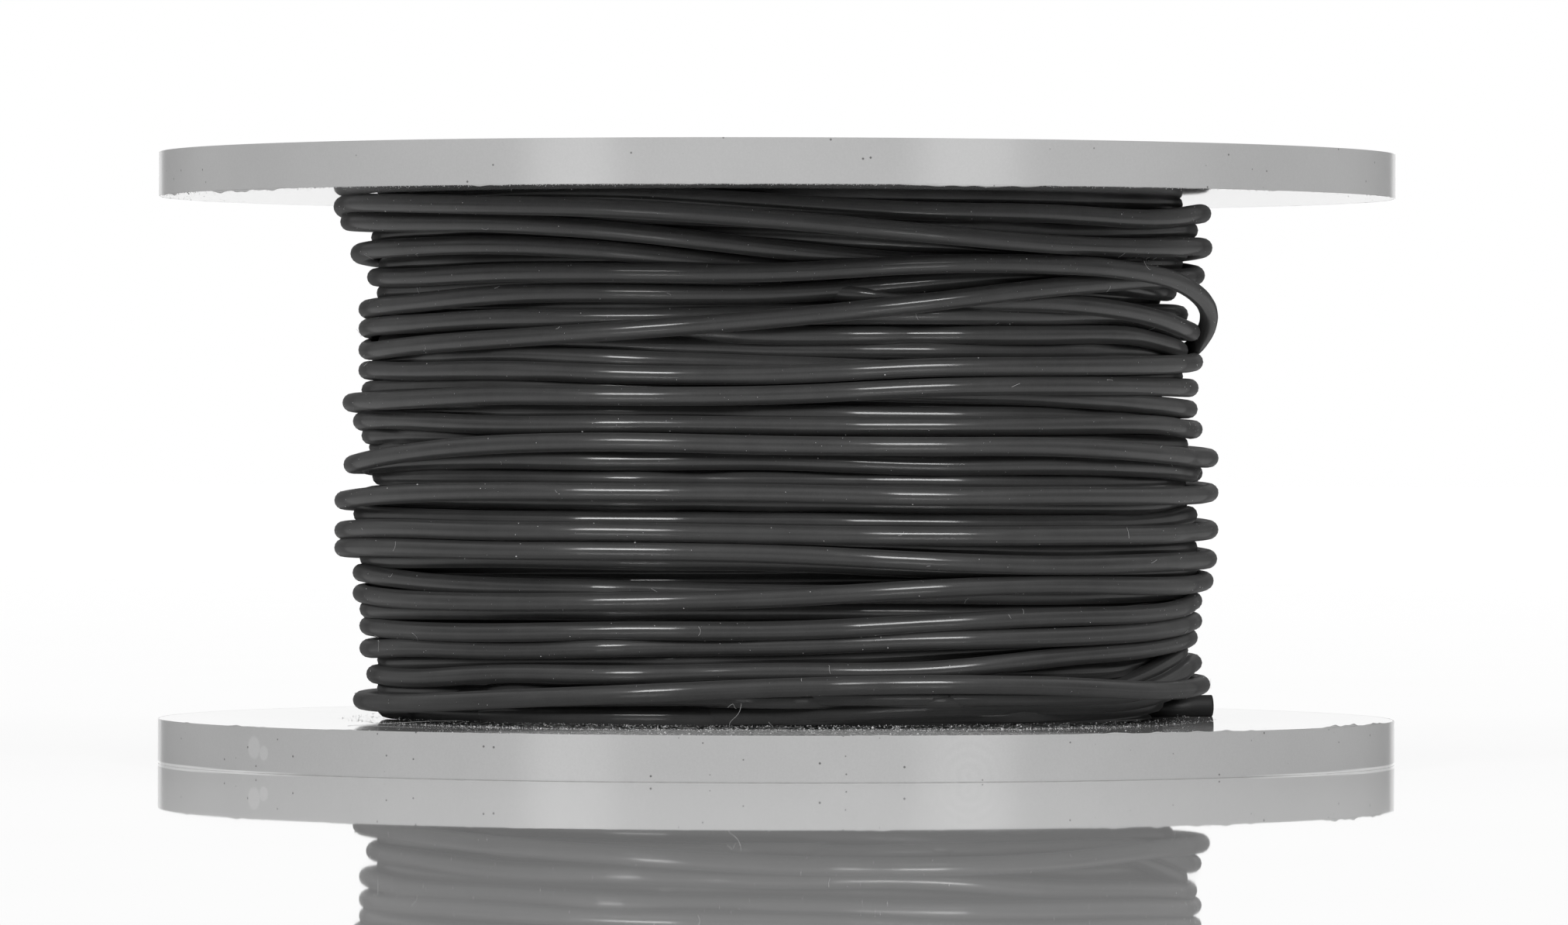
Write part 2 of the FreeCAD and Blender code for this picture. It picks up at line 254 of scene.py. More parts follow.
def spread_evenly(points, step):
    """The same course with points a fixed distance apart."""
    run = np.concatenate([[0.0], np.cumsum(np.linalg.norm(np.diff(points, axis=0), axis=1))])
    at = np.linspace(0.0, run[-1], int(run[-1] / step) + 1)
    return np.stack([np.interp(at, run, points[:, k]) for k in range(3)], axis=-1)


def mesh_from(name, points, faces, uv=None, smooth=True):
    """A mesh object at the origin: points in millimetres, faces as lists of corners, UVs per corner."""
    mesh = bpy.data.meshes.new(name)
    mesh.from_pydata((points * MM).tolist(), [], faces)
    mesh.polygons.foreach_set("use_smooth", np.broadcast_to(smooth, len(mesh.polygons)).astype(bool))
    if uv is not None:
        layer = mesh.uv_layers.new(name="along_and_round")
        layer.data.foreach_set("uv", np.asarray(uv, dtype=np.float32).ravel())
    mesh.update()
    made = bpy.data.objects.new(name, mesh)
    bpy.context.collection.objects.link(made)
    return made


def wire_mesh(name, path, radius, sides):
    """A round wire along a path, closed at both ends.

    Ring i, corner j is path[i] + radius * (out * cos(a) + across * sin(a)) with a = 360 j / sides + 180.
    Here out is the direction away from the spool's axis less its part along the wire, and across is the
    wire's direction x out.
    """
    way = np.gradient(path, axis=0)
    way /= np.linalg.norm(way, axis=1)[:, None]
    out = path * np.array([1.0, 1.0, 0.0])
    out -= way * (out * way).sum(axis=1)[:, None]
    out /= np.linalg.norm(out, axis=1)[:, None]
    across = np.cross(way, out)
    a = np.arange(sides) * 2 * np.pi / sides + np.pi
    ring = np.cos(a)[None, :, None] * out[:, None, :] + np.sin(a)[None, :, None] * across[:, None, :]
    return tube_from_rings(name, path[:, None, :] + radius * ring)


def tube_from_rings(name, rings, flat_from=None):
    """A closed tube through rings of corners, shape (rings, sides, 3), with a fan over each end.

    Its UV is the distance along in centimetres and the share of the way round. Rings from flat_from on
    meet at sharp edges.
    """
    count, sides = rings.shape[:2]
    middle = rings.mean(axis=1)
    points = np.concatenate([rings.reshape(-1, 3), middle[:1], middle[-1:]])
    i, j = np.meshgrid(np.arange(count - 1), np.arange(sides), indexing="ij")
    k = (j + 1) % sides
    quads = np.stack([i * sides + j, i * sides + k, (i + 1) * sides + k, (i + 1) * sides + j], axis=-1)
    run = np.concatenate([[0.0], np.cumsum(np.linalg.norm(np.diff(middle, axis=0), axis=1))]) / 10.0
    u = np.stack([run[i], run[i], run[i + 1], run[i + 1]], axis=-1)
    v = np.stack([j, j + 1, j + 1, j], axis=-1) / sides
    j = np.arange(sides)
    k = (j + 1) % sides
    first, last, end = count * sides, count * sides + 1, (count - 1) * sides
    fans = np.concatenate([
        np.stack([np.full(sides, first), k, j], axis=-1),
        np.stack([np.full(sides, last), end + j, end + k], axis=-1),
    ])
    uv = np.concatenate([np.stack([u, v], axis=-1).reshape(-1, 2), np.zeros((fans.size, 2))])
    rounded = np.arange(quads.size // 4 + len(fans)) < (flat_from or count - 1) * sides
    return mesh_from(name, points, quads.reshape(-1, 4).tolist() + fans.tolist(), uv, rounded)


def wound_wires():
    """The two outer layers as one settled wire, in two lines: the layer below, then the rest and the bow.

    A turn laid later presses the earlier ones inwards, but the second outer turn lies under the first.
    """
    angle_u, z_u, r_u = along_turns(UNDER_TURNS)
    angle_o, z_o, r_o = along_turns(OUTER_TURNS)
    count_u = len(UNDER_TURNS)
    order = list(range(count_u + len(OUTER_TURNS)))
    order[count_u], order[count_u + 1] = count_u + 1, count_u
    angle = np.concatenate([angle_u, angle_o + 360.0 * count_u])
    z = np.concatenate([z_u, z_o])
    r = np.concatenate([r_u, r_o])

    # The heights are evened out where one layer goes over into the other, at the back.
    join = len(z_u)
    join_reach = 20
    join_spread = 6.0
    near_join = slice(join - join_reach, join + join_reach)
    z[near_join] = soften(z, join_spread)[near_join]
    pressed_spread = 1.6
    r = soften(settle(angle, z, r, order), pressed_spread)
    points = around(angle, r, z)

    # The bow is spread and softened together with the last few points before it.
    bow = np.array(BOW)
    bow_start = np.searchsorted(angle, 360.0 * (count_u + len(OUTER_TURNS) - 1) + bow[0, 0])
    shared_points = 12
    last_point = bow_start - shared_points
    bow_line = around(bow[:, 0], bow[:, 1], bow[:, 2] + lower_face)
    bow_step = 0.25
    bow_spread = 4.0
    line = spread_evenly(np.concatenate([points[last_point:bow_start], bow_line]), bow_step)
    line = np.stack([soften(line[:, k], bow_spread) for k in range(3)], axis=-1)[::2]
    outer = np.concatenate([points[join - 1:last_point], line[2:]])
    return points[:join + 1], outer


def core_mesh():
    """The layers further in, as one closed ring whose outside has a ridge for each turn.

    The outside's radius is body(z) + sqrt(w^2 - d^2) - w, where d is the distance along z to the middle of
    the nearest turn of a helix of that pitch, w is the wire's radius and body is fullest half way up. The
    value under the root is never less than 0.01.
    """
    pitch = 1.33
    rows_per_ridge = 8
    least_square = 0.01
    rows = int((core_high - core_low) / pitch * rows_per_ridge)
    z = np.linspace(core_low, core_high, rows)
    angle = np.arange(0.0, 360.0, 3.0)
    aa, zz = np.meshgrid(angle, z, indexing="ij")
    d = (zz - core_low - pitch * aa / 360.0) % pitch - pitch / 2
    levels = [core_low, core_low + 6.0, 15.0, 21.0, 28.0, core_high - 6.0, core_high]
    fullness = [26.9, 27.3, 28.1, 28.2, 27.7, 27.3, 27.0]
    body = np.interp(zz, levels, fullness)
    radius = body + np.sqrt(np.maximum(wire_radius ** 2 - d ** 2, least_square)) - wire_radius
    outside = around(aa, radius, zz)
    inner_low = around(angle, np.full_like(angle, core_bore), np.full_like(angle, core_low))
    inner_high = around(angle, np.full_like(angle, core_bore), np.full_like(angle, core_high))
    grid = np.concatenate([inner_low[:, None], outside, inner_high[:, None]], axis=1)
    return ring_mesh("inner_layers", grid)


def ring_mesh(name, grid):
    """A closed ring from a grid of points, whose first index goes round the axis.

    Its second index follows a closed profile up the outside and back down the inside, so that the faces
    point outwards.
    """
    turns, rows = grid.shape[:2]
    i, j = np.meshgrid(np.arange(turns), np.arange(rows), indexing="ij")
    a, b = (i + 1) % turns, (j + 1) % rows
    quads = np.stack([i * rows + j, a * rows + j, a * rows + b, i * rows + b], axis=-1).reshape(-1, 4)
    return mesh_from(name, grid.reshape(-1, 3), quads.tolist())


# Start tail.

def tail_mesh():
    """The wire's inner end, straight out along the lower flange and squashed a little where it was cut.

    Its section at radius r is an ellipse of half height 0.65 + 0.13 t and half width 0.65 - 0.04 t, where t
    rises from 0 to 1 between 2.4 and 1.2 mm from the end. The end is a flat ring round the hole that holds
    the strands.
    """
    buried_end = core_bore + 0.1
    squash_from = 2.4
    squash_over = 1.2
    taller = 0.13
    narrower = 0.04
    straight = np.linspace(buried_end, tail_reach - squash_from, 6)
    squashed = np.linspace(tail_reach - 2.2, tail_reach, 10)
    r = np.concatenate([straight, squashed])
    t = np.clip((r - tail_reach + squash_from) / squash_over, 0.0, 1.0)
    high = wire_radius + taller * t
    wide = wire_radius - narrower * t

    # Three more rings: the end's outer edge, the hole's edge and the hole's floor.
    hole = 0.27
    hole_height = 0.70
    hole_depth = 0.8
    edge_inset = 0.05
    edge_ahead = 0.02
    sunk = 0.01
    r = np.concatenate([r, [tail_reach + edge_ahead, tail_reach, tail_reach - hole_depth]])
    high = np.concatenate([high, [high[-1] - edge_inset, hole, hole]])
    wide = np.concatenate([wide, [wide[-1] - edge_inset, hole, hole]])
    middle = lower_face + np.where(high > hole, high - sunk, hole_height)
    sides = 24
    side = np.arange(sides) * 2 * np.pi / sides
    along = around(tail_angle, 1.0, 0.0)
    across = np.cross([0.0, 0.0, 1.0], along)
    rings = (
        r[:, None, None] * along
        + wide[:, None, None] * np.cos(side)[:, None] * across
        + (middle[:, None] + high[:, None] * np.sin(side))[:, :, None] * np.array([0.0, 0.0, 1.0])
    )
    return tube_from_rings("start_tail", rings, flat_from=len(straight) + len(squashed))


# Burrs, crumbs and lint.

# How far in from the rim the burrs start, and half of a hair's thickness, both in millimetres.
RIM_INSET = 0.02
HAIR_RADIUS = 0.008


def rough_line(count, spread):
    """A closed random row of values, softened over spread steps, about -2 to 2."""
    draws = random.normal(size=count)
    wrapped = np.concatenate([draws, draws, draws])
    soft = soften(wrapped, spread)[count:2 * count]
    return soft / soft.std()


def burr_mesh(name, edge_z, way):
    """The ragged burr that the saw left along a flange's edge, hanging down or standing up (way -1 or 1).

    Its height at angle a is f * (0.03 + 0.05 * max(n(a), 0) ^ 1.5) mm, where n is a softened random row
    and f goes from 1 at the front to 0.05 at the back.
    """
    least_height = 0.03
    burr_height = 0.05
    sunk = 0.03
    inner_inset = 0.09
    usual_lean = 0.02
    inner_lower = 0.3
    angle = np.arange(0.0, 360.0, 0.25)
    rough = rough_line(len(angle), 2.0) * 0.6 + rough_line(len(angle), 14.0) * 0.8
    front = np.clip(0.5 + 2.0 * np.cos(np.radians(angle)), 0.05, 1.0)
    height = front * (least_height + burr_height * np.maximum(rough, 0.0) ** 1.5)
    sink = np.full_like(angle, sunk)
    outside = flange_radius - RIM_INSET
    low = edge_z + np.where(way < 0, -height, -sink)
    high = edge_z + np.where(way < 0, sink, height)
    lean = usual_lean * rough_line(len(angle), 5.0)
    inner = flange_radius - inner_inset - np.abs(lean)
    grid = np.stack([
        around(angle, np.full_like(angle, outside), low),
        around(angle, np.full_like(angle, outside), high),
        around(angle, inner, high - inner_lower * (high - edge_z) * (way > 0)),
        around(angle, inner, low + inner_lower * (edge_z - low) * (way < 0)),
    ], axis=1)
    return ring_mesh(name, grid)


def under_edge_mesh():
    """The thin rag of plastic under the lower flange's rim, from the rim down to the table.

    Near the ends the flange material paints it pale: painted light, for the background seen under the rim.
    """
    rag_width = 0.23
    raggedness = 0.05
    rag_foot = 0.001
    rag_top = 0.07
    angle = np.arange(0.0, 360.0, 1.0)
    outer = np.full_like(angle, flange_radius - RIM_INSET)
    inner = outer - rag_width - raggedness * np.abs(rough_line(len(angle), 1.5))
    low = np.full_like(angle, rag_foot)
    high = np.full_like(angle, rag_top)
    corners = ((outer, low), (outer, high), (inner, high), (inner, low))
    return ring_mesh("under_edge", np.stack([around(angle, r, z) for r, z in corners], axis=1))


def crumbs_mesh(name, centres, sizes):
    """Tiny crumbs: round each centre six corners along the axes, each 0.6 to 1.4 times the size away."""
    axes = np.array([[1, 0, 0], [-1, 0, 0], [0, 1, 0], [0, -1, 0], [0, 0, 1], [0, 0, -1]], dtype=float)
    reach = random.uniform(0.6, 1.4, (len(centres), 6)) * sizes[:, None]
    points = centres[:, None] + axes * reach[:, :, None]
    eight = np.array([[0, 2, 4], [2, 1, 4], [1, 3, 4], [3, 0, 4], [2, 0, 5], [1, 2, 5], [3, 1, 5], [0, 3, 5]])
    faces = (eight + 6 * np.arange(len(centres))[:, None, None]).reshape(-1, 3)
    return mesh_from(name, points.reshape(-1, 3), faces.tolist(), smooth=False)


def threads_mesh(name, paths, radius):
    """Fine hairs, each a closed tube of four sides along a row of points: paths is (hairs, points, 3)."""
    hairs, count = paths.shape[:2]
    way = np.gradient(paths, axis=1)
    way /= np.linalg.norm(way, axis=2)[:, :, None]
    aside = np.cross(way, np.array([0.31, 0.92, 0.24]))
    aside /= np.linalg.norm(aside, axis=2)[:, :, None]
    other = np.cross(way, aside)
    corner = np.arange(4) * np.pi / 2
    ring = np.cos(corner)[:, None] * aside[:, :, None] + np.sin(corner)[:, None] * other[:, :, None]
    points = paths[:, :, None] + radius * ring
    i, j = np.meshgrid(np.arange(count - 1), np.arange(4), indexing="ij")
    k = (j + 1) % 4
    sides = np.stack([i * 4 + j, i * 4 + k, (i + 1) * 4 + k, (i + 1) * 4 + j], axis=-1).reshape(-1, 4)
    end = (count - 1) * 4
    one = np.concatenate([sides, [[3, 2, 1, 0], [end, end + 1, end + 2, end + 3]]])
    faces = (one + count * 4 * np.arange(hairs)[:, None, None]).reshape(-1, 4)
    return mesh_from(name, points.reshape(-1, 3), faces.tolist())


def on_wire(line, count, spread):
    """Random points on the outward side of a wire, with the wire's direction and the way out at each."""
    at = random.integers(2, len(line) - 2, count)
    share = random.uniform(0.0, 1.0, count)[:, None]
    middle = line[at] * (1 - share) + line[at + 1] * share
    way = line[at + 1] - line[at - 1]
    way /= np.linalg.norm(way, axis=1)[:, None]
    out = middle * np.array([1.0, 1.0, 0.0])
    out -= way * (out * way).sum(axis=1)[:, None]
    out /= np.linalg.norm(out, axis=1)[:, None]
    turn = random.uniform(-spread, spread, count)[:, None]
    normal = out * np.cos(turn) + np.cross(way, out) * np.sin(turn)
    return middle + wire_radius * normal, way, normal


def fallen_crumbs(count):
    """Places and sizes of crumbs strewn on the lower flange, larger and closer together at the front."""
    spread = 30.0
    nearest = 31.0
    rim_margin = 0.3
    least_size = 0.012
    extra_size = 0.011
    size_fade = 60.0
    raised = 0.2
    angle = spread * random.normal(size=count)
    radius = np.sqrt(random.uniform(nearest ** 2, (flange_radius - rim_margin) ** 2, count))
    size = (least_size + extra_size * random.exponential(1.0, count)) * np.exp(-(angle / size_fade) ** 2)
    return around(angle, radius, lower_face + raised * size), size


def swept_crumbs(count):
    """Places and sizes of crumbs in the corner between the lower flange and the wire."""
    spread = 36.0
    heap_foot = 31.4
    heap_width = 2.8
    heap_height = 0.30
    least_size = 0.009
    extra_size = 0.009
    angle = spread * random.normal(size=count)
    rise = random.uniform(0.0, 1.0, count)
    size = least_size + extra_size * random.exponential(1.0, count)
    return around(angle, heap_foot - heap_width * rise, lower_face + heap_height * rise ** 2), size


def specks_on_wire(line, count):
    """Places and sizes of specks that lie on the wire."""
    least_size = 0.010
    extra_size = 0.009
    raised = 0.3
    spot, _, normal = on_wire(line, count, 1.2)
    size = least_size + extra_size * random.exponential(1.0, count)
    return spot + raised * size[:, None] * normal, size


def crumbs_under_edge(count):
    """Places and sizes of crumbs that hang under the upper flange's edge."""
    middle = -10.0
    spread = 32.0
    least_size = 0.014
    extra_size = 0.007
    least_inset = 0.12
    extra_inset = 1.1
    lowered = 0.3
    angle = middle + spread * random.normal(size=count)
    size = least_size + extra_size * random.exponential(1.0, count)
    inset = least_inset + extra_inset * random.exponential(1.0, count)
    return around(angle, flange_radius - inset, upper_face - lowered * size), size


def short_lint_mesh(line, count):
    """Short curled hairs that lie on the wire."""
    shortest = 0.2
    longest = 0.8
    most_curl = 0.5
    least_lift = 0.02
    extra_lift = 0.25
    spot, way, normal = on_wire(line, count, 1.0)
    t = np.linspace(-0.5, 0.5, 7)[None, :, None]
    length = random.uniform(shortest, longest, count)[:, None, None]
    lean = random.uniform(0.0, np.pi, count)[:, None]
    along = way * np.cos(lean) + np.cross(normal, way) * np.sin(lean)
    curl = random.uniform(-most_curl, most_curl, count)[:, None, None]
    aside = np.cross(normal, along)[:, None, :]
    lift = least_lift + extra_lift * random.uniform(0.0, 1.0, count)[:, None, None] * (t + 0.5) ** 2
    course = along[:, None, :] * t + aside * curl * (t * t * 2) + normal[:, None, :] * lift
    return threads_mesh("short_lint", spot[:, None, :] + length * course, HAIR_RADIUS)


def crumbs_and_lint(line):
    """All the crumbs as one piece, and the short hairs on the wire as another."""
    heaps = [fallen_crumbs(1200), swept_crumbs(4800), specks_on_wire(line, 2600)]
    lint = short_lint_mesh(line, 110)
    heaps.append(crumbs_under_edge(2600))
    centres = np.concatenate([places for places, _ in heaps])
    sizes = np.concatenate([size for _, size in heaps])
    return crumbs_mesh("crumbs", centres, sizes), lint


# Longer hairs at the front, in millimetres: each goes smoothly through four points.
LONG_HAIRS = (
    ((-29.65, -21.50, 3.18), (-26.96, -18.60, 3.26), (-22.90, -17.60, 3.42), (-22.20, -17.80, 3.22)),
    ((-2.36, -30.95, 5.02), (-2.67, -31.50, 4.18), (-3.09, -33.00, 3.79), (-3.06, -40.00, 3.17)),
    ((-3.30, -30.30, 4.70), (-2.95, -30.60, 4.95), (-2.85, -30.40, 4.80), (-2.70, -30.10, 4.62)),
    ((-0.50, -31.20, 3.75), (-0.35, -31.80, 3.60), (-0.20, -32.60, 3.45), (-0.06, -33.60, 3.20)),
)


def long_hairs_mesh():
    """The few long hairs, each a cubic through its four points at 0, 1/3, 2/3 and 1 of its length."""
    knots = np.array(LONG_HAIRS)
    t = np.linspace(0.0, 1.0, 25)[:, None]
    at = np.array([0.0, 1 / 3, 2 / 3, 1.0])
    weights = [np.prod([(t - b) / (a - b) for b in at if b != a], axis=0) for a in at]
    paths = sum(w[None] * knots[:, n][:, None, :] for n, w in enumerate(weights))
    return threads_mesh("long_hairs", paths, HAIR_RADIUS)


# Materials.

def new_material(name):
    """A new material with its node tree and its shader."""
    made = bpy.data.materials.new(name)
    made.use_nodes = True
    tree = made.node_tree
    return made, tree, tree.nodes["Principled BSDF"]


def node(tree, kind, **values):
    """Adds a node; a value goes to the input of that name, or else to the property of that name."""
    made = tree.nodes.new(kind)
    for name, value in values.items():
        title = name.replace("_", " ")
        if title in made.inputs:
            made.inputs[title].default_value = value
        else:
            setattr(made, name, value)
    return made


def ramp(tree, stops):
    """A colour ramp of greys from (place, grey) pairs."""
    made = tree.nodes.new("ShaderNodeValToRGB")
    band = made.color_ramp
    while len(band.elements) < len(stops):
        band.elements.new(0.5)
    for element, (place, grey) in zip(band.elements, stops):
        element.position = place
        element.color = (grey, grey, grey, 1.0)
    return made


def sum_of(tree, *shares):
    """A node output that is the sum of outputs, each times its share; shares are (output, share) pairs."""
    total = None
    for output, share in shares:
        step = node(tree, "ShaderNodeMath", operation="MULTIPLY_ADD")
        tree.links.new(output, step.inputs[0])
        step.inputs[1].default_value = share
        step.inputs[2].default_value = 0.0
        if total is not None:
            tree.links.new(total, step.inputs[2])
        total = step.outputs[0]
    return total


def noise(tree, vector, scale, detail=3.0, rough=0.6):
    """A noise from 0 to 1 over a vector; scale is in lumps for each unit of it."""
    made = node(tree, "ShaderNodeTexNoise", Scale=scale, Detail=detail, Roughness=rough)
    tree.links.new(vector, made.inputs["Vector"])
    return made.outputs["Fac"]


def through_ramp(tree, output, stops):
    """The grey that a ramp of (place, grey) pairs gives for an output."""
    band = ramp(tree, stops)
    tree.links.new(output, band.inputs["Fac"])
    return band.outputs["Color"]


def combined(tree, operation, first, second):
    """What a math node of that operation makes of two outputs."""
    step = node(tree, "ShaderNodeMath", operation=operation)
    tree.links.new(first, step.inputs[0])
    tree.links.new(second, step.inputs[1])
    return step.outputs[0]


def unsigned(tree, output):
    """An output without its sign."""
    step = node(tree, "ShaderNodeMath", operation="ABSOLUTE")
    tree.links.new(output, step.inputs[0])
    return step.outputs[0]


def mixed(tree, factor, first, second):
    """The first colour at factor 0 and the second at factor 1, each one an output or a grey level."""
    step = node(tree, "ShaderNodeMix", data_type="RGBA")
    tree.links.new(factor, step.inputs["Factor"])
    for title, colour in (("A", first), ("B", second)):
        if isinstance(colour, float):
            step.inputs[title].default_value = (colour, colour, colour, 1.0)
        else:
            tree.links.new(colour, step.inputs[title])
    return step.outputs["Result"]


def bumped(tree, shader, *layers):
    """Bump from (output, strength, depth in metres) layers, the last one outermost."""
    below = None
    for output, strength, depth in layers:
        bump = node(tree, "ShaderNodeBump", Strength=strength, Distance=depth)
        tree.links.new(output, bump.inputs["Height"])
        if below is not None:
            tree.links.new(below, bump.inputs["Normal"])
        below = bump.outputs["Normal"]
    tree.links.new(below, shader.inputs["Normal"])


def jacket_material(name, smooth_end, rough_end, coat, bloom, tone_left_by_painted_shade):
    """Soft dark wire jacket: satin, with faint lines along the wire, mottling, and a finely uneven skin.

    A sharp gloss lies under a broad one, and fades where the skin is seen edge-on. A thin bloom on the
    skin shows there instead. The last argument scales the base colour down; below 1 this darkening is
    painted shade.
    """
    made, tree, shader = new_material(name)
    link = tree.links.new
    shader.inputs["IOR"].default_value = 1.5
    shader.inputs["Coat Weight"].default_value = coat
    shader.inputs["Coat Roughness"].default_value = 0.42
    shader.inputs["Coat IOR"].default_value = 1.4
    shader.inputs["Sheen Weight"].default_value = bloom
    shader.inputs["Sheen Roughness"].default_value = 0.3
    coords = tree.nodes.new("ShaderNodeUVMap")
    coords.uv_map = "along_and_round"
    stretch = node(tree, "ShaderNodeMapping", Scale=(0.12, 9.0, 1.0))
    link(coords.outputs["UV"], stretch.inputs["Vector"])
    lines = noise(tree, stretch.outputs["Vector"], 2.0, detail=4.0)
    place = tree.nodes.new("ShaderNodeTexCoord").outputs["Object"]
    mottle = noise(tree, place, 420.0)
    grain = noise(tree, place, 9000.0, detail=2.0)
    tone = sum_of(tree, (lines, 0.5), (mottle, 0.3), (grain, 0.2))
    # The last argument scales these shades: a share below 1 gives painted shade, a darker copy for a piece in
    # shade.
    shades = ((0.3, 0.039 * tone_left_by_painted_shade), (0.7, 0.073 * tone_left_by_painted_shade))
    link(through_ramp(tree, tone, shades), shader.inputs["Base Color"])
    link(through_ramp(tree, mottle, ((0.3, smooth_end), (0.7, rough_end))), shader.inputs["Roughness"])
    edge_on = node(tree, "ShaderNodeLayerWeight", Blend=0.5).outputs["Facing"]
    dulled = through_ramp(tree, edge_on, ((0.0, 0.5), (0.42, 0.5), (0.62, 0.15), (0.8, 0.0), (1.0, 0.0)))
    link(dulled, shader.inputs["Specular IOR Level"])
    bumped(tree, shader, (grain, 0.35, 0.000004), (lines, 0.25, 0.00003))
    return made


def distance_from(tree, place, spot):
    """Distance in metres from a spot given in millimetres."""
    apart = node(tree, "ShaderNodeVectorMath", operation="DISTANCE")
    tree.links.new(place, apart.inputs[0])
    apart.inputs[1].default_value = [MM * part for part in spot]
    return apart.outputs["Value"]


def fade(tree, output, full, gone):
    """1 where a distance or height in metres is full, falling evenly to 0 where it is gone."""
    step = node(tree, "ShaderNodeMapRange", From_Min=gone, From_Max=full)
    tree.links.new(output, step.inputs["Value"])
    return step.outputs["Result"]


def on_rim(angle, height):
    """A spot on a flange's rim."""
    return around(angle, flange_radius, height)


def smudge_on_rim(tree, place):
    """A smudge of paler plastic at the left, made of two round spots that run together."""
    spots = []
    for angle, height, reach in ((-54.8, 1.75, 0.00078), (-53.2, 1.40, 0.00052)):
        spot = distance_from(tree, place, on_rim(angle, height))
        spots.append(fade(tree, spot, 0.85 * reach, 1.1 * reach))
    return combined(tree, "MAXIMUM", *spots)


def saw_marks_on_rim(tree, place):
    """Faint saw marks on the lower rim: parts of rings, seen within a few millimetres of one spot."""
    angle = 17.2
    rings = node(tree, "ShaderNodeTexWave", wave_type="RINGS", rings_direction="SPHERICAL")
    rings.inputs["Scale"].default_value = 420.0
    rings.inputs["Distortion"].default_value = 3.0
    moved = node(tree, "ShaderNodeVectorMath", operation="SUBTRACT")
    tree.links.new(place, moved.inputs[0])
    moved.inputs[1].default_value = [MM * part for part in on_rim(angle, 0.4)]
    tree.links.new(moved.outputs["Vector"], rings.inputs["Vector"])
    near = fade(tree, distance_from(tree, place, on_rim(angle, 1.6)), 0.0012, 0.0028)
    return combined(tree, "MULTIPLY", rings.outputs["Fac"], near)


def painted_light_lower_corner(tree, place):
    """1 on the lower corner of the rim, near its left and right ends and higher further out.

    There it is painted light: a pale line for the bright background seen under the rim.
    """
    where = tree.nodes.new("ShaderNodeSeparateXYZ")
    tree.links.new(place, where.inputs["Vector"])
    sideways = unsigned(tree, where.outputs["X"])
    parts = []
    for height, full, gone in ((0.00016, 0.041, 0.038), (0.00010, 0.037, 0.032)):
        low_down = fade(tree, where.outputs["Z"], height, 1.4 * height)
        far_out = fade(tree, sideways, full, gone)
        parts.append(combined(tree, "MULTIPLY", low_down, far_out))
    return combined(tree, "MAXIMUM", *parts)


def flange_roughness(tree, coords, clouds):
    """Polished faces with smears, dust on them in front of the winding, and a duller sawn edge."""
    edge_roughness = 0.32
    place = coords.outputs["Object"]
    split = tree.nodes.new("ShaderNodeSeparateXYZ")
    tree.links.new(coords.outputs["Normal"], split.inputs["Vector"])
    sawn = through_ramp(tree, unsigned(tree, split.outputs["Z"]), ((0.3, 1.0), (0.7, 0.0)))
    dusty = fade(tree, distance_from(tree, place, (0.0, -62.0, lower_face)), 0.030, 0.037)
    specks = through_ramp(tree, noise(tree, place, 2600.0), ((0.45, 0.35), (0.58, 1.0)))
    face = sum_of(tree, (combined(tree, "MULTIPLY", dusty, specks), 0.34), (clouds, 0.06))
    rough = node(tree, "ShaderNodeMix", data_type="FLOAT")
    tree.links.new(sawn, rough.inputs["Factor"])
    tree.links.new(face, rough.inputs["A"])
    rough.inputs["B"].default_value = edge_roughness
    return rough.outputs["Result"]


def flange_material():
    """Glossy light grey sheet plastic: polished faces with smears and dust, and a finely sawn edge.

    The edge has pits, a smudge of paler plastic at the left, faint saw marks, and painted light on its
    lower corner near the ends: a pale line for the bright background seen under the rim.
    """
    made, tree, shader = new_material("glossy_light_grey_plastic")
    link = tree.links.new
    shader.inputs["IOR"].default_value = 1.5
    shader.inputs["Specular IOR Level"].default_value = 0.7
    shader.inputs["Anisotropic"].default_value = 1.0
    shader.inputs["Anisotropic Rotation"].default_value = 0.25
    around_axis = node(tree, "ShaderNodeTangent", direction_type="RADIAL", axis="Z")
    link(around_axis.outputs["Tangent"], shader.inputs["Tangent"])
    coords = tree.nodes.new("ShaderNodeTexCoord")
    place = coords.outputs["Object"]

    grain = noise(tree, place, 7000.0, detail=2.0)
    clouds = noise(tree, place, 90.0)
    marks = ((smudge_on_rim(tree, place), 0.35), (saw_marks_on_rim(tree, place), 0.08))
    tone = sum_of(tree, (grain, 0.30), (clouds, 0.30), *marks)
    plastic = through_ramp(tree, tone, ((0.0, 0.475), (1.0, 0.71)))
    # Painted light: near the rim's ends its lowest part is made almost white, for the background seen under
    # the rim.
    with_painted_light = mixed(tree, painted_light_lower_corner(tree, place), plastic, 0.97)
    pits = node(tree, "ShaderNodeTexVoronoi", Scale=830.0)
    link(place, pits.inputs["Vector"])
    clean = through_ramp(tree, pits.outputs["Distance"], ((0.05, 0.0), (0.08, 1.0)))
    link(mixed(tree, clean, 0.16, with_painted_light), shader.inputs["Base Color"])

    link(flange_roughness(tree, coords, clouds), shader.inputs["Roughness"])
    bumped(tree, shader, (grain, 0.2, 0.000002), (clouds, 0.15, 0.00001))
    return made


def plain_material(name, grey, roughness, scale):
    """Plain plastic or dust with a soft mottle and a slightly uneven skin."""
    made, tree, shader = new_material(name)
    place = tree.nodes.new("ShaderNodeTexCoord").outputs["Object"]
    mottle = noise(tree, place, scale)
    shade = through_ramp(tree, mottle, ((0.3, 0.88 * grey), (0.7, 1.06 * grey)))
    dullness = through_ramp(tree, mottle, ((0.3, 0.8 * roughness), (0.7, 1.2 * roughness)))
    tree.links.new(shade, shader.inputs["Base Color"])
    tree.links.new(dullness, shader.inputs["Roughness"])
    bumped(tree, shader, (noise(tree, place, 8.0 * scale), 0.2, 0.00001))
    return made


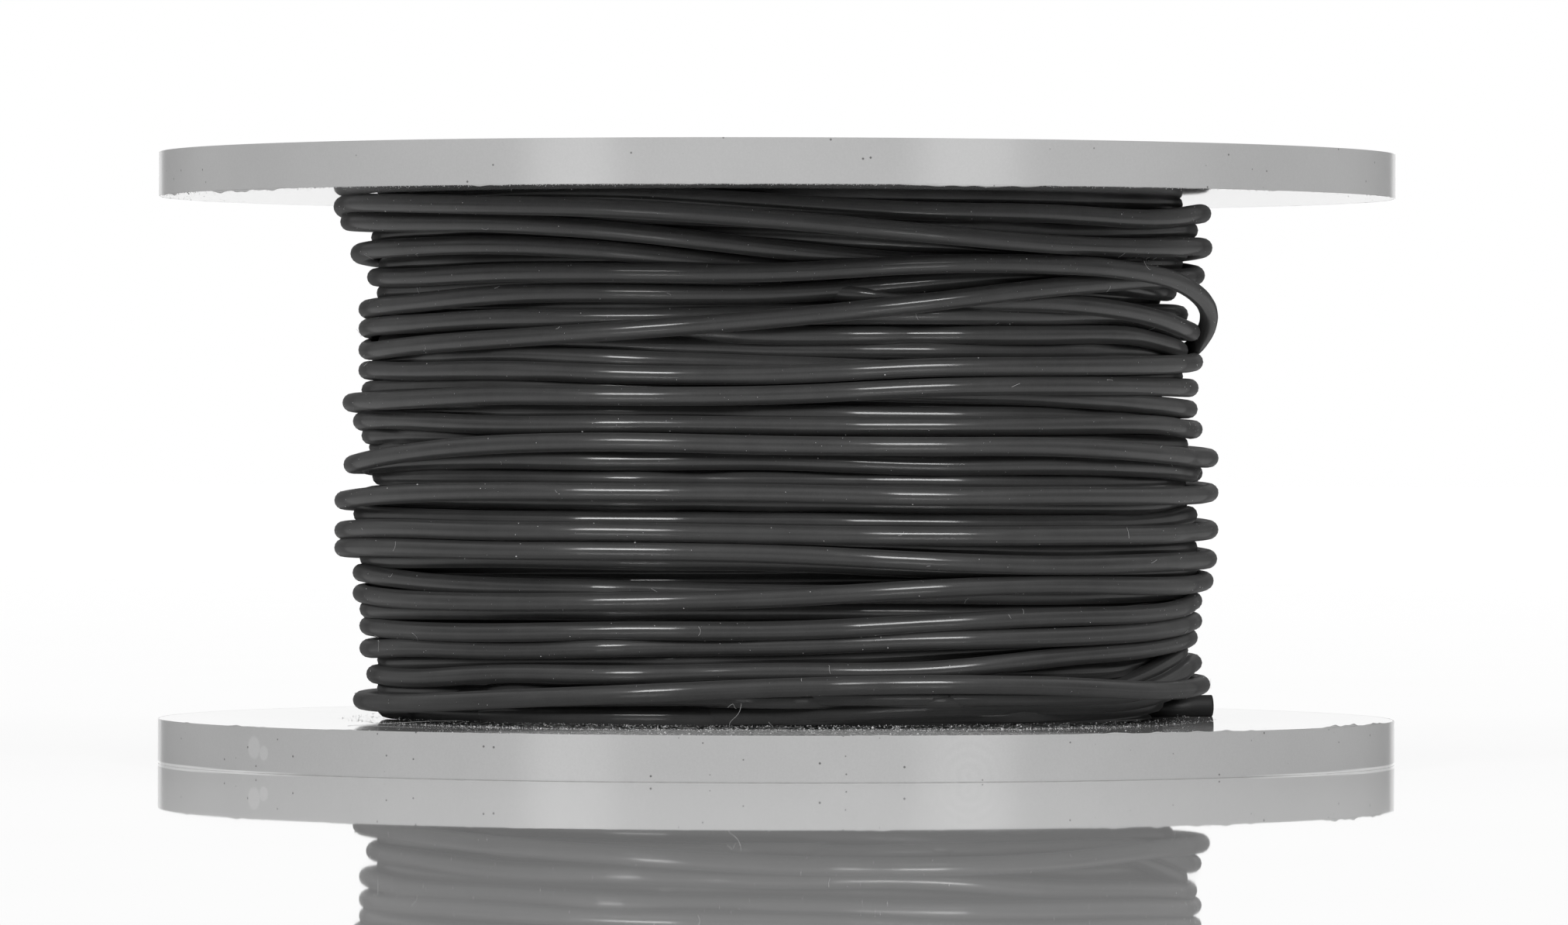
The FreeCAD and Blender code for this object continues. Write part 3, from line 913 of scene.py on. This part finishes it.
def copper_material():
    """Bare drawn copper, with a finely uneven skin and a little tarnish."""
    made, tree, shader = new_material("bare_copper_strands")
    shader.inputs["Metallic"].default_value = 1.0
    place = tree.nodes.new("ShaderNodeTexCoord").outputs["Object"]
    tarnish = noise(tree, place, 2500.0)
    colour = node(tree, "ShaderNodeMix", data_type="RGBA")
    tree.links.new(tarnish, colour.inputs["Factor"])
    colour.inputs["A"].default_value = (0.80, 0.50, 0.34, 1.0)
    colour.inputs["B"].default_value = (0.58, 0.33, 0.20, 1.0)
    tree.links.new(colour.outputs["Result"], shader.inputs["Base Color"])
    tree.links.new(through_ramp(tree, tarnish, ((0.3, 0.22), (0.7, 0.42))), shader.inputs["Roughness"])
    bumped(tree, shader, (noise(tree, place, 9000.0), 0.2, 0.000003))
    return made


def floor_material():
    """Polished white table top with the faintest smears."""
    made, tree, shader = new_material("polished_white_table")
    shader.inputs["Base Color"].default_value = (0.88, 0.88, 0.88, 1.0)
    shader.inputs["IOR"].default_value = 1.49
    place = tree.nodes.new("ShaderNodeTexCoord").outputs["Object"]
    smears = through_ramp(tree, noise(tree, place, 30.0), ((0.3, 0.008), (0.7, 0.02)))
    tree.links.new(smears, shader.inputs["Roughness"])
    return made


# Pieces.

jacket = jacket_material("soft_dark_jacket", 0.10, 0.18, 0.35, 0.16, 1.0)
# The tail's jacket: the same jacket, duller and with a quarter of its tone, painted shade for the shade the
# tail lies in.
tail_jacket_painted_shade = jacket_material("soft_dark_jacket_tail_painted_shade", 0.45, 0.65, 0.0, 0.0, 0.25)
flange_plastic = flange_material()
tube_plastic = plain_material("plain_moulded_plastic", 0.72, 0.4, 300.0)
copper = copper_material()
crumb_plastic = plain_material("pale_crumbs_and_lint", 0.85, 0.7, 2000.0)

under_line, outer_line = wound_wires()
under = wire_mesh("turns_below", under_line, wire_radius, 12)
outer = wire_mesh("outer_turns_and_bow", outer_line, wire_radius, 16)
core = core_mesh()
tail = tail_mesh()
for piece in (under, outer, core, tail):
    piece.data.materials.append(tail_jacket_painted_shade if piece is tail else jacket)
    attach(piece, "root")
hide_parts("wire_outer_turns")
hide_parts("wire_inner_layers")
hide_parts("wire_start_tail")

upper_burr = burr_mesh("upper_burr", upper_face, -1)
lower_burr = burr_mesh("lower_burr", lower_face, 1)
for piece in (upper_burr, lower_burr, under_edge_mesh()):
    piece.data.materials.append(flange_plastic)
    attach(piece, "root")
for piece in (*crumbs_and_lint(outer_line), long_hairs_mesh()):
    piece.data.materials.append(crumb_plastic)
    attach(piece, "root")

for name, material, finish in (
    ("lower_flange", flange_plastic, "flange_plastic"),
    ("upper_flange", flange_plastic, "flange_plastic"),
    ("barrel", tube_plastic, "barrel_plastic"),
    ("arbor_tube", tube_plastic, "arbor_plastic"),
    ("start_tail_strands", copper, "wire_copper"),
):
    nodes[name].data.materials.clear()
    nodes[name].data.materials.append(material)


# Table, background and light.

def make_floor():
    """A large round table top at height 0, one fan of triangles about its middle."""
    table_radius = 4000.0
    edge = np.radians(np.arange(0.0, 360.0, 3.0))
    rim = np.stack([table_radius * np.cos(edge), table_radius * np.sin(edge), np.zeros_like(edge)], axis=-1)
    count = len(edge)
    j = np.arange(count)
    faces = np.stack([np.full(count, count), j, (j + 1) % count], axis=-1)
    floor = mesh_from("table_top", np.concatenate([rim, [[0.0, 0.0, 0.0]]]), faces.tolist(), smooth=False)
    floor.data.materials.append(floor_material())


def make_world():
    """White background; the object is lit by a plain studio, bright behind and above, dimmer elsewhere."""
    world = bpy.data.worlds.new("studio")
    bpy.context.scene.world = world
    world.use_nodes = True
    tree = world.node_tree
    link = tree.links.new
    background = tree.nodes["Background"]
    rays = tree.nodes.new("ShaderNodeLightPath")
    coords = tree.nodes.new("ShaderNodeTexCoord")
    split = tree.nodes.new("ShaderNodeSeparateXYZ")
    link(coords.outputs["Generated"], split.inputs["Vector"])
    off = unsigned(tree, combined(tree, "ARCTAN2", split.outputs["X"], split.outputs["Y"]))
    share = node(tree, "ShaderNodeMath", operation="DIVIDE")
    share.inputs[1].default_value = math.pi
    link(off, share.inputs[0])

    # In these two ramps the places are shares of half a turn: 0 straight behind the spool, 1 at the camera.
    mirrored = through_ramp(tree, share.outputs[0], (
        (0.0, 1.04), (0.081, 1.04), (0.088, 0.10), (0.16, 0.15), (0.28, 0.32),
        (0.5, 0.13), (0.72, 0.30), (0.85, 0.18), (1.0, 0.18),
    ))
    lit = through_ramp(tree, share.outputs[0], (
        (0.0, 0.14), (0.12, 0.17), (0.3, 0.42), (0.6, 0.38), (0.8, 0.07), (1.0, 0.0),
    ))

    # Above, both go over into an even grey. Here the place is how far up a direction points.
    up = through_ramp(tree, split.outputs["Z"], ((0.35, 0.0), (0.75, 1.0)))
    mirrored_above = 0.5
    lit_above = 0.6
    mirrored = mixed(tree, up, mirrored, mirrored_above)
    lit = mixed(tree, up, lit, lit_above)
    by_ray = mixed(tree, rays.outputs["Is Glossy Ray"], lit, mirrored)
    seen = combined(tree, "MAXIMUM", rays.outputs["Is Camera Ray"], rays.outputs["Is Transmission Ray"])
    link(mixed(tree, seen, by_ray, 1.0), background.inputs["Color"])
    background.inputs["Strength"].default_value = 1.0


# What the two lamps share: their elevation in degrees, and their distance and height in metres.
LAMP_ELEVATION = 26.5
LAMP_DISTANCE = 1.3
LAMP_HEIGHT = 0.36


def softbox(name, azimuth, width, radiance):
    """A flat lamp aimed 20 mm above the table, near the spool's middle.

    Azimuth 0 is at the camera, 90 at the right.
    """
    aim = np.array([0.0, 0.0, 0.02])
    lamp = bpy.data.lights.new(name, "AREA")
    lamp.shape = "RECTANGLE"
    lamp.size = width
    lamp.size_y = LAMP_HEIGHT
    lamp.energy = radiance * math.pi * width * LAMP_HEIGHT
    a = math.radians(azimuth)
    e = math.radians(LAMP_ELEVATION)
    way = np.array([math.sin(a) * math.cos(e), -math.cos(a) * math.cos(e), math.sin(e)])
    held = bpy.data.objects.new(name, lamp)
    bpy.context.collection.objects.link(held)
    held.matrix_world = (
        Matrix.Translation(way * LAMP_DISTANCE + aim)
        @ Matrix.Rotation(a, 4, "Z")
        @ Matrix.Rotation(math.pi / 2 - e, 4, "X")
    )


make_floor()
make_world()
softbox("softbox_left", -39.5, 0.35, 12.8)
softbox("softbox_right", 36.8, 0.39, 11.9)

bpy.context.scene.view_settings.view_transform = "Standard"
